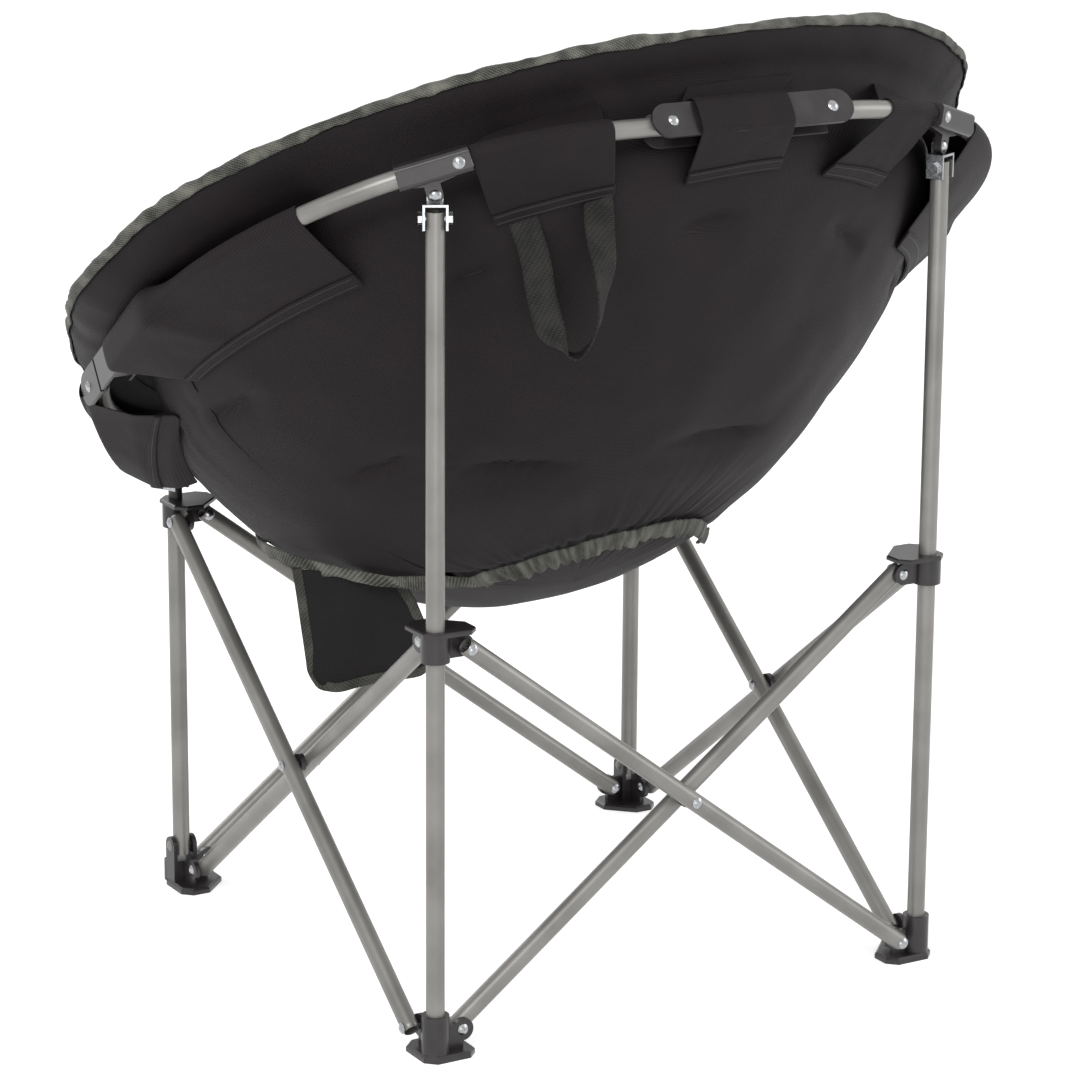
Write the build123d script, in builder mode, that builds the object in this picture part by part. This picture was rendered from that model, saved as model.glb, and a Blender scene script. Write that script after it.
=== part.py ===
from build123d import *
from math import asin, cos, degrees, hypot, radians, sin
import os

# Folding saucer chair, millimetres. +Z is up, -Y is the way the sitter faces,
# +X is the sitter's left. The origin is on the floor, under the middle of the
# whole chair's outline.

os.makedirs("parts", exist_ok=True)

# ---------------------------------------------------------------- driving sizes
LEG_PITCH = 500.0  # leg to leg, both ways
LEGS_Y = 41.35  # the square of legs stands this far behind the origin
TUBE_R = 8.0  # all main tubes are 16 mm
TUBE_BORE_R = 6.8
INNER_TUBE_R = 6.5  # front legs telescope on these
OUTER_TUBE_BORE_R = 6.58
FIT = 0.06  # running clearance on a radius
GAP = 0.1  # seam between pieces that are clamped together

PIVOT_REACH = 26.0  # bar pivots stand this far from their leg's axis
LOW_PIVOT_Z = 22.0
HIGH_PIVOT_Z = 365.0
BAR_OFFSET = 10.5  # each bar's axis from the plane of its side
PLATE_T = 4.6  # the lugs of feet and sliders, in that plane
SPACER_R = 8.5

RIVET_R = 2.5
HEAD_R = 5.0
HEAD_H = 2.2
BOLT_R = 3.0

RING_TILT = 33.0  # the ring's plane rises to the back
RING_R = 301.0  # centreline radius of each bent ring tube
BEND_U, BEND_V = 97.0, 45.0  # bend centre, across and up the slope
BRACKET_ANGLE = 58.67  # where on its bend a ring tube crosses its leg
BRACKET_Z = 770.0  # ring tube centreline over the rear legs
PIN_DROP = 23.0  # bracket pin below the ring tube
BOLT_DROP = 42.0  # yoke bolt below the ring tube
LEG_OVER_BOLT = 5.5  # leg tube's top above the yoke bolt, low enough to let the yoke turn

CHEEK_IN, CHEEK_OUT = 8.8, 11.8  # ring link's cheeks, from the tube's centreline
CHEEK_H = 30.0
CHEEK_PAST = 20.0  # cheeks run on past each knuckle rivet

# ---------------------------------------------------------------- shared frames
HALF = LEG_PITCH / 2
SPAN = LEG_PITCH - 2 * PIVOT_REACH
RISE = HIGH_PIVOT_Z - LOW_PIVOT_Z
BAR_LENGTH = hypot(SPAN, RISE)

# Corners anticlockwise seen from above: signs in X and Y, and the turn that
# points a corner's local +x along the side to the next corner.
CORNERS = {"fl": (1, -1, 90), "rl": (1, 1, 180), "rr": (-1, 1, 270), "fr": (-1, -1, 0)}
SIDES = {"left": "fl", "back": "rl", "right": "rr", "front": "fr"}

TILT = radians(RING_TILT)
BRACKET_V = BEND_V + RING_R * sin(radians(BRACKET_ANGLE))
RING_Z = BRACKET_Z - BRACKET_V * sin(TILT)
FRONT_DROP = 2 * BRACKET_V * sin(TILT)  # front brackets stand this much lower
RING_PLANE = Plane(
    origin=(0, LEGS_Y, RING_Z), x_dir=(1, 0, 0), z_dir=(0, -sin(TILT), cos(TILT))
)

# Each ring tube: how far from the ring's middle line its side end stops, the angle
# its bend runs to, and the straight length from there to its other end.
RING_ENDS = {
    "rl": (20.0, 90.0, 42.0), "rr": (20.0, 88.0, 5.5),
    "fl": (137.0, 90.0, 19.0), "fr": (137.0, 90.0, 19.0),
}

# Each ring link: the tube it is hinged on, the tube it reaches to, and which
# end of both tubes it joins.
LINKS = {
    "back": ("rl", "rr", "centre"),
    "left": ("rl", "fl", "side"),
    "right": ("rr", "fr", "side"),
    "front": ("fl", "fr", "centre"),
}


def corner_plane(corner, height=0.0):
    """Level plane on a leg's axis, +x along the side to the next corner."""
    across, back, turn = CORNERS[corner]
    ahead = (cos(radians(turn)), sin(radians(turn)), 0)
    origin = (across * HALF, LEGS_Y + back * HALF, height)
    return Plane(origin=origin, x_dir=ahead, z_dir=(0, 0, 1))


def side_plane(corner):
    """Upright plane of a side: +x along it, +y up, +z out of the chair."""
    level = corner_plane(corner)
    return Plane(origin=level.origin, x_dir=level.x_dir, z_dir=-level.y_dir)


def previous_side_plane(corner):
    """The side that ends at this corner: +x away from the leg, +y up."""
    level = corner_plane(corner)
    return Plane(origin=level.origin, x_dir=level.y_dir, z_dir=level.x_dir)


def ring_angles(corner):
    """Angles where a ring tube's bend starts, at its side end, and stops."""
    side_v, stop, _ = RING_ENDS[corner]
    return degrees(asin((side_v - BEND_V) / RING_R)), stop


def ring_point(corner, angle, reach=RING_R):
    """A point at an angle of a ring tube's bend, in the chair's frame."""
    across, back, _ = CORNERS[corner]
    u = across * (BEND_U + reach * cos(radians(angle)))
    v = back * (BEND_V + reach * sin(radians(angle)))
    return RING_PLANE.from_local_coords(Vector(u, v, 0))


def ring_end(corner, end, past=0.0):
    """Knuckle point at one end of a ring tube, or a point past it."""
    side, stop = ring_angles(corner)
    if end == "side":
        return ring_point(corner, side - degrees(past / RING_R))
    ahead = (ring_point(corner, stop) - ring_point(corner, stop - 0.01)).normalized()
    return ring_point(corner, stop) + ahead * (RING_ENDS[corner][2] + past)


def ring_bend(corner, start, stop):
    """The bend of a ring tube from one angle to another, as an edge."""
    middle = (start + stop) / 2
    points = [ring_point(corner, angle) for angle in (start, middle, stop)]
    return Edge.make_three_point_arc(*points)


def ring_route(corner, past=0.0):
    """A whole ring tube's centreline, run on past both of its ends."""
    side, stop = ring_angles(corner)
    bend = ring_bend(corner, side - degrees(past / RING_R), stop)
    straight = Edge.make_line(ring_point(corner, stop), ring_end(corner, "centre", past))
    return Wire([bend, straight])


def pipe(route, radius, mode=Mode.ADD):
    """Sweep a round bar along a route into the piece being built."""
    with BuildSketch(Plane(origin=route.position_at(0), z_dir=route.tangent_at(0))) as section:
        Circle(radius)
    sweep(section.sketch, path=route, mode=mode)


def link_plane(name):
    """A ring link's frame: +x to its far knuckle, +z out of the ring."""
    near, far, end = LINKS[name]
    start, stop = ring_end(near, end), ring_end(far, end)
    along = (stop - start).normalized()
    outward = along.cross(RING_PLANE.z_dir)
    middle = (start + stop) * 0.5 - RING_PLANE.origin
    if outward.dot(middle) < 0:
        outward = -outward
    return Plane(origin=start, x_dir=along, z_dir=outward), (stop - start).length


def bracket_plane(corner):
    """A bracket's frame on its ring tube: +x along the tube, +z out to the pin's head."""
    across, back, _ = CORNERS[corner]
    here = ring_point(corner, BRACKET_ANGLE)
    ahead = ring_point(corner, BRACKET_ANGLE + 0.5) - ring_point(corner, BRACKET_ANGLE - 0.5)
    level = Vector(ahead.X, ahead.Y, 0).normalized()
    outward = Vector(0, 0, 1).cross(level)
    if outward.Y * back < 0:
        outward = -outward
    return Plane(origin=here, x_dir=ahead.normalized(), z_dir=outward)


def yoke_plane(corner, drop):
    """Level frame on the leg's axis below the ring tube: +x along the bolt, +y out."""
    outward = bracket_plane(corner).z_dir
    across, back, _ = CORNERS[corner]
    height = BRACKET_Z - drop - (FRONT_DROP if back < 0 else 0)
    origin = (across * HALF, LEGS_Y + back * HALF, height)
    return Plane(origin=origin, x_dir=outward.cross(Vector(0, 0, 1)), z_dir=(0, 0, 1))


def pin_plane(corner):
    """Frame of a bracket pin: its +z runs out along the pin."""
    frame = yoke_plane(corner, PIN_DROP)
    return Plane(origin=frame.origin, x_dir=frame.x_dir, z_dir=frame.y_dir)


def bolt_plane(corner):
    """Frame of a yoke bolt: its +z runs along the bolt."""
    frame = yoke_plane(corner, BOLT_DROP)
    return Plane(origin=frame.origin, x_dir=frame.z_dir, z_dir=frame.x_dir)


def add_rivet(base, low, high, shank=RIVET_R, low_head=True):
    """Add a round-headed rivet on a plane's normal, gripping from low to high."""
    dome = (HEAD_R**2 + HEAD_H**2) / (2 * HEAD_H)
    half_turn = asin(HEAD_R / dome) / 2
    mid_x, mid_h = dome * sin(half_turn), HEAD_H - dome * (1 - cos(half_turn))
    section = Plane(origin=base.origin, x_dir=base.x_dir, z_dir=-base.y_dir)
    with BuildSketch(section) as profile:
        with BuildLine():
            ThreePointArc((HEAD_R, high), (mid_x, high + mid_h), (0, high + HEAD_H))
            Line((0, high + HEAD_H), (0, low - (HEAD_H if low_head else 0)))
            if low_head:
                ThreePointArc((0, low - HEAD_H), (mid_x, low - mid_h), (HEAD_R, low))
                Line((HEAD_R, low), (shank, low))
            else:
                Line((0, low), (shank, low))
            Polyline((shank, low), (shank, high), (HEAD_R, high))
        make_face()
    revolve(profile.sketch, axis=Axis(base.origin, base.z_dir))


def drill(base, radius, depth):
    """Cut a through hole on a plane's normal, centred on its origin."""
    with Locations(base):
        Cylinder(radius, depth, mode=Mode.SUBTRACT)


def finish(part, name):
    """Label a finished piece and write it."""
    part.part.label = name
    export_step(part.part, f"parts/{name}.step")


# ------------------------------------------------------------------------ legs
for corner in ("rl", "rr"):
    bolt = bolt_plane(corner)
    with BuildPart() as leg:
        with BuildSketch(corner_plane(corner, 6.5)):
            Circle(TUBE_R)
            Circle(TUBE_BORE_R, mode=Mode.SUBTRACT)
        extrude(amount=bolt.origin.Z + LEG_OVER_BOLT - 6.5)
        drill(bolt, BOLT_R + FIT, 4 * TUBE_R)
    finish(leg, f"leg_tube_{corner}")

FORK_PIN_Z = 40.0
OUTER_LOW, OUTER_TOP = 31.0, 353.0
INNER_LOW = 100.0
for corner in ("fl", "fr"):
    across, back, _ = CORNERS[corner]
    fork_pin = Plane(
        origin=(across * HALF, LEGS_Y + back * HALF, FORK_PIN_Z), x_dir=(0, 1, 0), z_dir=(1, 0, 0)
    )
    with BuildPart() as outer_leg:
        with BuildSketch(corner_plane(corner, OUTER_LOW)):
            Circle(TUBE_R)
            Circle(OUTER_TUBE_BORE_R, mode=Mode.SUBTRACT)
        extrude(amount=OUTER_TOP - OUTER_LOW)
        drill(fork_pin, RIVET_R + FIT, 4 * TUBE_R)
        add_rivet(fork_pin, -12.2, 12.2)
    finish(outer_leg, f"leg_tube_{corner}")

    bolt = bolt_plane(corner)
    with BuildPart() as inner_leg:
        with BuildSketch(corner_plane(corner, INNER_LOW)):
            Circle(INNER_TUBE_R)
            Circle(INNER_TUBE_R - 1.2, mode=Mode.SUBTRACT)
        extrude(amount=bolt.origin.Z + LEG_OVER_BOLT - INNER_LOW)
        drill(bolt, BOLT_R + FIT, 4 * TUBE_R)
    finish(inner_leg, f"inner_tube_{corner}")


# ------------------------------------------------------------- feet and sliders
BASE_LOW, BASE_HIGH = -14.0, 36.0  # a moulding's plan, from the leg's axis
BASE_CUT, INSIDE_CUT = 9.0, 24.0  # corners cut off that plan


def moulding_plan(base):
    """Octagonal plan of a foot or slider, with its inner corner cut well back."""
    low, high, cut, deep = BASE_LOW, BASE_HIGH, BASE_CUT, INSIDE_CUT
    with BuildSketch(base) as plan:
        with BuildLine():
            Polyline(
                (low, low + cut), (low + cut, low), (high - cut, low), (high, low + cut),
                (high, high - deep), (high - deep, high), (low + cut, high), (low, high - cut),
                close=True,
            )
        make_face()
    return plan.sketch


def add_lug(side, height, low, high, radius):
    """Add a lug in a side's plane, rounded about its bar's pivot."""
    with BuildSketch(side) as lug:
        with Locations((PIVOT_REACH, height)):
            Circle(radius)
        with BuildLine():
            Polyline(
                (TUBE_R + 2, low), (PIVOT_REACH, low), (PIVOT_REACH, high), (TUBE_R + 2, high),
                close=True,
            )
        make_face()
    extrude(lug.sketch, amount=PLATE_T / 2, both=True)


def drill_lugs(corner, height):
    """Rivet holes through both lugs of a foot or slider."""
    for side in (side_plane(corner), previous_side_plane(corner)):
        at = side.from_local_coords(Vector(PIVOT_REACH, height, 0))
        drill(Plane(origin=at, z_dir=side.z_dir), RIVET_R + FIT, 4 * PLATE_T)


for corner in CORNERS:
    rear = CORNERS[corner][1] > 0
    level = corner_plane(corner)
    with BuildPart() as foot:
        extrude(moulding_plan(level), amount=6)
        chamfer(foot.edges().group_by(Axis.Z)[-1], 2)
        for side in (side_plane(corner), previous_side_plane(corner)):
            add_lug(side, LOW_PIVOT_Z, 5, LOW_PIVOT_Z + 6, 10)
        if rear:
            with BuildSketch(level.offset(3)):
                Circle(TUBE_R + 4)
            extrude(amount=37)
            with BuildSketch(level.offset(6)):
                Circle(TUBE_R + FIT)
            extrude(amount=40, mode=Mode.SUBTRACT)
        else:
            # A fork on X carries the leg's lower end, beside an empty round cup.
            face = Plane(origin=level.origin, x_dir=(0, 1, 0), z_dir=(1, 0, 0))
            with BuildSketch(face):
                with Locations((0, FORK_PIN_Z)):
                    Circle(9)
                with Locations((0, (FORK_PIN_Z + 5) / 2)):
                    Rectangle(18, FORK_PIN_Z - 5)
            extrude(amount=12.1, both=True)
            with BuildSketch(Plane(origin=level.origin + Vector(0, 0, 26), z_dir=(0, 0, 1))):
                Rectangle(2 * (TUBE_R + 0.4), 30)
            extrude(amount=60, mode=Mode.SUBTRACT)
            cup = Plane(origin=level.origin + Vector(0, -17, 0), z_dir=(0, 0, 1))
            with BuildSketch(cup):
                Circle(9.5)
            extrude(amount=20)
            with BuildSketch(cup.offset(6)):
                Circle(6.6)
            extrude(amount=30, mode=Mode.SUBTRACT)
            pin = Plane(origin=level.origin + Vector(0, 0, FORK_PIN_Z), z_dir=(1, 0, 0))
            drill(pin, RIVET_R + FIT, 60)
        drill_lugs(corner, LOW_PIVOT_Z)
    finish(foot, f"foot_{corner}")

    with BuildPart() as slider:
        extrude(moulding_plan(level.offset(HIGH_PIVOT_Z + 12)), amount=4)
        chamfer(slider.edges().group_by(Axis.Z)[-1], 1.2)
        with BuildSketch(level.offset(HIGH_PIVOT_Z - 11)):
            Circle(TUBE_R + 4.5)
        extrude(amount=23.5)
        for side in (side_plane(corner), previous_side_plane(corner)):
            add_lug(side, HIGH_PIVOT_Z, HIGH_PIVOT_Z - 9.5, HIGH_PIVOT_Z + 13, 9.5)
        with BuildSketch(level.offset(HIGH_PIVOT_Z - 20)):
            Circle((TUBE_R if rear else INNER_TUBE_R) + FIT)
        extrude(amount=60, mode=Mode.SUBTRACT)
        drill_lugs(corner, HIGH_PIVOT_Z)
    finish(slider, f"slider_{corner}")


# ------------------------------------------------------------------ cross bars
def bar_plane(side, outer):
    """A bar's frame: origin at its end on this side's first corner, +z along it."""
    offset = BAR_OFFSET if outer else -BAR_OFFSET
    start_h, stop_h = (HIGH_PIVOT_Z, LOW_PIVOT_Z) if outer else (LOW_PIVOT_Z, HIGH_PIVOT_Z)
    start = side.from_local_coords(Vector(PIVOT_REACH, start_h, offset))
    stop = side.from_local_coords(Vector(LEG_PITCH - PIVOT_REACH, stop_h, offset))
    return Plane(origin=start, x_dir=side.z_dir, z_dir=(stop - start).normalized())


INNER_FACE = PLATE_T / 2 + GAP
OUTER_FACE = BAR_OFFSET + TUBE_R + GAP
for name, corner in SIDES.items():
    side = side_plane(corner)
    for outer in (True, False):
        kind = "outer" if outer else "inner"
        frame = bar_plane(side, outer)
        places = [frame.offset(far).origin for far in (0, BAR_LENGTH / 2, BAR_LENGTH)]
        with BuildPart() as bar:
            with BuildSketch(frame):
                Circle(TUBE_R)
            extrude(amount=BAR_LENGTH)
            with Locations(places[0], places[2]):
                Sphere(TUBE_R)
            with BuildSketch(frame.offset(-2 * TUBE_R)):
                Circle(TUBE_BORE_R)
            extrude(amount=BAR_LENGTH + 4 * TUBE_R, mode=Mode.SUBTRACT)
            for place in places:
                drill(Plane(origin=place, z_dir=side.z_dir), RIVET_R + FIT, 4 * TUBE_R)
        finish(bar, f"{name}_{kind}_bar")

        with BuildPart() as rivets:
            for number, place in enumerate(places):
                in_plane = Plane(
                    origin=place - side.z_dir * side.to_local_coords(place).Z, z_dir=side.z_dir
                )
                if number == 1:
                    if outer:
                        add_rivet(in_plane, -OUTER_FACE, OUTER_FACE)
                elif outer:
                    add_rivet(in_plane, -INNER_FACE, OUTER_FACE)
                else:
                    add_rivet(in_plane, -OUTER_FACE, INNER_FACE)
        finish(rivets, f"{name}_{kind}_rivets")

    middle = side.from_local_coords(Vector(HALF, (LOW_PIVOT_Z + HIGH_PIVOT_Z) / 2, 0))
    with BuildPart() as spacer:
        with BuildSketch(Plane(origin=middle, z_dir=side.z_dir)):
            Circle(SPACER_R)
            Circle(RIVET_R + FIT, mode=Mode.SUBTRACT)
        extrude(amount=BAR_OFFSET - TUBE_R - GAP, both=True)
    finish(spacer, f"{name}_spacer")


# ------------------------------------------------------------ ring, yokes, links
SADDLE = (62.0, 20.0, 22.0)  # along the tube, tall, deep
GUSSET_T = 7.0
YOKE_T = 2.0
CAP_LIFT = 10.2  # underside of the yoke's cap above its bolt
EAR_IN = TUBE_R + 0.5
NECK_W = 13.4  # narrow foot of the gusset, which passes the yoke's cap as it turns

# Each ring link's open end, measured back from its rivet: where the cap that stays on
# the far tube starts, and where the link's own outer and inner cheeks stop.
OPEN_END = {
    "back": (44.0, 60.0, -2.0), "left": (27.0, 31.0, 46.0),
    "right": (27.0, 31.0, 46.0), "front": (27.0, 46.0, -2.0),
}
WEB_HALF = 27.0  # half the length of the link's solid middle

for corner in CORNERS:
    joins = []
    for link, (near, far, _) in LINKS.items():
        frame, length = link_plane(link)
        if near == corner:
            joins.append((None, frame))
        if far == corner:
            at = frame.from_local_coords(Vector(length, 0, 0))
            joins.append((link, Plane(origin=at, x_dir=frame.x_dir, z_dir=frame.z_dir)))
    pin = pin_plane(corner)
    saddle = bracket_plane(corner)

    with BuildPart() as ring_tube:
        pipe(ring_route(corner), TUBE_R)
        with Locations(ring_end(corner, "side"), ring_end(corner, "centre")):
            Sphere(TUBE_R)
        pipe(ring_route(corner, 2 * TUBE_R), TUBE_BORE_R, Mode.SUBTRACT)
        for _, knuckle in joins:
            drill(knuckle, RIVET_R + FIT, 4 * TUBE_R)
    finish(ring_tube, f"ring_tube_{corner}")

    flat = Plane(origin=saddle.origin, x_dir=saddle.x_dir, z_dir=pin.z_dir)
    tip = flat.to_local_coords(pin.origin)
    down = 1 if tip.Y > 0 else -1
    half_x, half_y, neck = SADDLE[0] / 2, SADDLE[1] / 2, NECK_W / 2
    screw = Plane(origin=flat.from_local_coords(Vector(half_x - 10, 0, 0)), z_dir=flat.z_dir)
    with BuildPart() as fittings:
        with Locations(saddle):
            Box(*SADDLE)
        fillet(fittings.edges().filter_by(Axis(saddle.origin, saddle.x_dir)), 4)
        drill(screw.offset(SADDLE[2] / 2), 1.6 + FIT, SADDLE[2] - 2)
        with BuildSketch(flat.offset(tip.Z)):
            with BuildLine():
                Polyline(
                    (4 - half_x, 0), (half_x - 4, 0), (half_x - 6, down * (half_y + 0.5)),
                    (tip.X + neck, down * (half_y + 3.5)), (tip.X + neck, tip.Y),
                    (tip.X - neck, tip.Y), (tip.X - neck, down * (half_y + 3.5)),
                    (6 - half_x, down * (half_y + 0.5)), close=True,
                )
            make_face()
            with Locations((tip.X, tip.Y)):
                Circle(neck)
        extrude(amount=GUSSET_T / 2, both=True)
        pipe(ring_bend(corner, BRACKET_ANGLE - 8, BRACKET_ANGLE + 8), TUBE_R + FIT, Mode.SUBTRACT)
        drill(pin, BOLT_R + FIT, 60)
        for opened, knuckle in joins:
            if opened:
                start = OPEN_END[opened][0]
                with BuildSketch(knuckle.offset(TUBE_R + 0.3)):
                    SlotOverall(2 * CHEEK_PAST, CHEEK_H)
                    with Locations((-start / 2, 0)):
                        Rectangle(start, CHEEK_H)
                    Circle(RIVET_R + FIT, mode=Mode.SUBTRACT)
                extrude(amount=CHEEK_OUT - TUBE_R - 0.3)
    finish(fittings, f"ring_bracket_{corner}")

    with BuildPart() as rivets:
        add_rivet(pin, -(GUSSET_T / 2 + YOKE_T + 2 * GAP), GUSSET_T / 2 + GAP, shank=BOLT_R)
        add_rivet(screw, TUBE_R + 0.6, SADDLE[2] / 2 + GAP, shank=1.6, low_head=False)
        for opened, knuckle in joins:
            low = 0.5 - TUBE_R if opened else -CHEEK_OUT - GAP
            add_rivet(knuckle, low, CHEEK_OUT + GAP, low_head=not opened)
    finish(rivets, f"ring_rivets_{corner}")

    level = yoke_plane(corner, BOLT_DROP)
    bolt = bolt_plane(corner)
    reach = EAR_IN + YOKE_T + GAP
    with BuildPart() as yoke:
        with BuildSketch(level.offset(-9)):
            Rectangle(2 * (EAR_IN + YOKE_T), 16)
            Rectangle(2 * EAR_IN, 20, mode=Mode.SUBTRACT)
        extrude(amount=9 + CAP_LIFT)
        with BuildSketch(level.offset(CAP_LIFT)):
            Rectangle(2 * (EAR_IN + YOKE_T), 16)
        extrude(amount=YOKE_T)
        tab = Plane(origin=pin.origin, x_dir=level.x_dir, z_dir=pin.z_dir)
        drop = BOLT_DROP - PIN_DROP - CAP_LIFT
        with BuildSketch(tab.offset(-(GUSSET_T / 2 + GAP + YOKE_T))):
            Circle(NECK_W / 2)
            with Locations((0, -drop / 2 * tab.y_dir.Z)):
                Rectangle(NECK_W, drop)
        extrude(amount=YOKE_T)
        drill(pin, BOLT_R + FIT, 60)
        drill(bolt, BOLT_R + FIT, 60)
        with BuildSketch(bolt.offset(-reach)):
            Circle(BOLT_R)
        extrude(amount=2 * reach)
        for end in (-reach - 3.5, reach):
            with BuildSketch(bolt.offset(end)):
                RegularPolygon(5.5, 6)
            extrude(amount=3.5)
    finish(yoke, f"yoke_{corner}")

for name in LINKS:
    frame, length = link_plane(name)
    _, outer_stop, inner_stop = OPEN_END[name]
    with BuildPart() as link:
        for face, stop in ((CHEEK_IN, length - outer_stop), (-CHEEK_OUT, length - inner_stop)):
            with BuildSketch(frame.offset(face)):
                SlotOverall(2 * CHEEK_PAST, CHEEK_H)
                with Locations((stop / 2, 0)):
                    Rectangle(stop, CHEEK_H)
            extrude(amount=CHEEK_OUT - CHEEK_IN)
        with BuildSketch(frame.offset(-CHEEK_IN)):
            with Locations((length / 2, 0)):
                Rectangle(2 * WEB_HALF, CHEEK_H - 6)
        extrude(amount=2 * CHEEK_IN)
        drill(frame, RIVET_R + FIT, 60)
    finish(link, f"{name}_link")


# ----------------------------------------------------------------- padded seat
# Sections of the bowl parallel to the ring: height over the ring's plane, centre
# up the slope, half width, half length. The bowl draws in where the ring carries
# it, and flares out over the ring to its rim.
BOWL = (
    (67.0, -37.0, 412.0, 403.0),
    (62.0, -36.0, 420.0, 411.0),
    (50.0, -32.0, 415.0, 399.0),
    (34.0, -18.0, 394.0, 362.0),
    (15.0, -2.0, 371.0, 328.0),
    (-12.0, -2.0, 366.0, 325.0),
    (-40.0, -22.0, 353.0, 328.0),
    (-70.0, -42.0, 333.0, 323.0),
    (-105.0, -56.0, 304.0, 301.0),
    (-140.0, -68.0, 269.0, 272.0),
    (-175.0, -78.0, 228.0, 233.0),
    (-205.0, -87.0, 180.0, 185.0),
    (-229.0, -94.0, 128.0, 131.0),
    (-243.0, -99.0, 78.0, 80.0),
)
SHELL = 17.0  # how thick the padding is, square to the bowl's wall
RIM_LIFT = 2.2  # degrees: the rim stands higher towards its back right
TUFT_R = 46.0
TUFT_DEPTH = 6.0
TUFT_RINGS = ((0.0, 1, 0.0), (135.0, 6, 0.0), (238.0, 12, 15.0))  # radius, count, first angle
WEBBING_T = 2.0
CLEAR = 0.4  # between cloth and whatever it passes


def oval(section, inset=0.0, lift=0.0):
    """One section of the bowl, taken in and lifted, on its own plane."""
    height, centre, wide, long = section
    level = RING_PLANE.offset(height + lift)
    if height > 22:
        lean = (RING_PLANE.x_dir - RING_PLANE.y_dir) * sin(radians(RIM_LIFT))
        level = Plane(origin=level.origin, x_dir=level.x_dir, z_dir=level.z_dir + lean)
    with BuildSketch(level) as outline:
        with Locations((0, centre)):
            Ellipse(wide - inset, long - inset)
    return outline.sketch


def wall_at(radius):
    """Centre up the slope and height of the inner wall at a radius from the middle."""
    steps = [(wide - SHELL, centre, height + SHELL / 2) for height, centre, wide, _ in BOWL]
    for upper, lower in zip(steps, steps[1:]):
        if lower[0] <= radius <= upper[0]:
            share = (radius - lower[0]) / (upper[0] - lower[0])
            return tuple(low + share * (up - low) for low, up in zip(lower[1:], upper[1:]))
    return steps[-1][1], BOWL[-1][0] + SHELL


with BuildPart() as seat:
    loft([oval(section) for section in BOWL], ruled=True)
    inner = []
    for section in BOWL:
        lean = min(1.0, max(0.0, (-section[0] - 40) / 200))  # the wall turns to a floor
        inner.append(oval(section, SHELL * (1 - 0.3 * lean), SHELL * lean + 1))
    loft(inner, ruled=True, mode=Mode.SUBTRACT)
    for radius, count, first in TUFT_RINGS:
        for number in range(count):
            angle = radians(first + 360 * number / count)
            centre, height = wall_at(radius)
            at = Vector(radius * cos(angle), centre + radius * sin(angle), height)
            inward = (Vector(0, -60, 230) - at).normalized()
            with Locations(RING_PLANE.from_local_coords(at + inward * (TUFT_R - TUFT_DEPTH))):
                Sphere(TUFT_R, mode=Mode.SUBTRACT)
finish(seat, "seat_pad")


def cloth_tube(route, inner, outer):
    """A closed sleeve of cloth round a route, added to the piece being built."""
    pipe(route, outer)
    pipe(route, inner, Mode.SUBTRACT)


# Sleeves sewn to the bowl, which the ring runs through: angles on each rear tube.
SLEEVES = (("rl", 68.0, 86.0), ("rl", 3.0, 36.0), ("rr", 68.0, 84.0), ("rr", 3.0, 36.0))
with BuildPart() as sleeves:
    for corner, start, stop in SLEEVES:
        cloth_tube(ring_bend(corner, start, stop), TUBE_R + CLEAR, TUBE_R + CLEAR + 1.6)
    frame, length = link_plane("back")
    across_link = Plane(origin=frame.origin, x_dir=frame.z_dir, z_dir=frame.x_dir).offset(22)
    for wall, mode in ((1.6, Mode.ADD), (0.0, Mode.SUBTRACT)):
        with BuildSketch(across_link):
            Rectangle(2 * (CHEEK_OUT + CLEAR + wall), CHEEK_H + 2 * (CLEAR + wall))
        extrude(amount=92, mode=mode)
finish(sleeves, "ring_sleeves")

# Pockets sewn under the rim, which hold the front tubes by their brackets.
with BuildPart() as pockets:
    for corner in ("fl", "fr"):
        cloth_tube(ring_bend(corner, 23.0, 46.0), TUBE_R + CLEAR, TUBE_R + 6)
finish(pockets, "side_pockets")

# A loop of webbing hangs outside the rear left ring tube to carry the chair by.
STRAP_W = 25.0
STRAP_APART = 60.0
STRAP_DROP = 175.0
along_tube = ring_point("rl", 78.01) - ring_point("rl", 77.99)
outward = along_tube.cross(Vector(0, 0, 1)).normalized()
strap_top = ring_point("rl", 78.0) + outward * (TUBE_R + CLEAR + 1.7) - Vector(0, 0, 4)
strap_plane = Plane(origin=strap_top, x_dir=Vector(0, 0, 1).cross(outward), z_dir=outward)
with BuildPart() as strap:
    with BuildSketch(strap_plane):
        with Locations((0, 0)):
            SlotOverall(2 * STRAP_DROP, STRAP_APART + STRAP_W, rotation=90)
            SlotOverall(
                2 * STRAP_DROP - 2 * STRAP_W, STRAP_APART - STRAP_W, rotation=90, mode=Mode.SUBTRACT
            )
        with Locations((0, STRAP_DROP)):
            Rectangle(4 * STRAP_W + STRAP_APART, 2 * STRAP_DROP, mode=Mode.SUBTRACT)
    extrude(amount=WEBBING_T)
finish(strap, "carry_strap")

# A bound flap of cloth hangs from under the bowl at the left.
FLAP_W, FLAP_H, FLAP_T = 108.0, 96.0, 3.0
flap_plane = Plane(origin=(166, LEGS_Y - 14, 332), x_dir=(-0.862, 0.507, 0), z_dir=(0.507, 0.862, 0))
with BuildPart() as flap:
    with BuildSketch(flap_plane):
        with BuildLine():
            Polyline(
                (-FLAP_W / 2, 0), (-FLAP_W / 2 + 8, -FLAP_H + 6), (-6, -FLAP_H),
                (FLAP_W / 2 - 16, -FLAP_H + 8), (FLAP_W / 2, 0), close=True,
            )
        make_face()
    extrude(amount=FLAP_T)
finish(flap, "hanging_flap")
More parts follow.
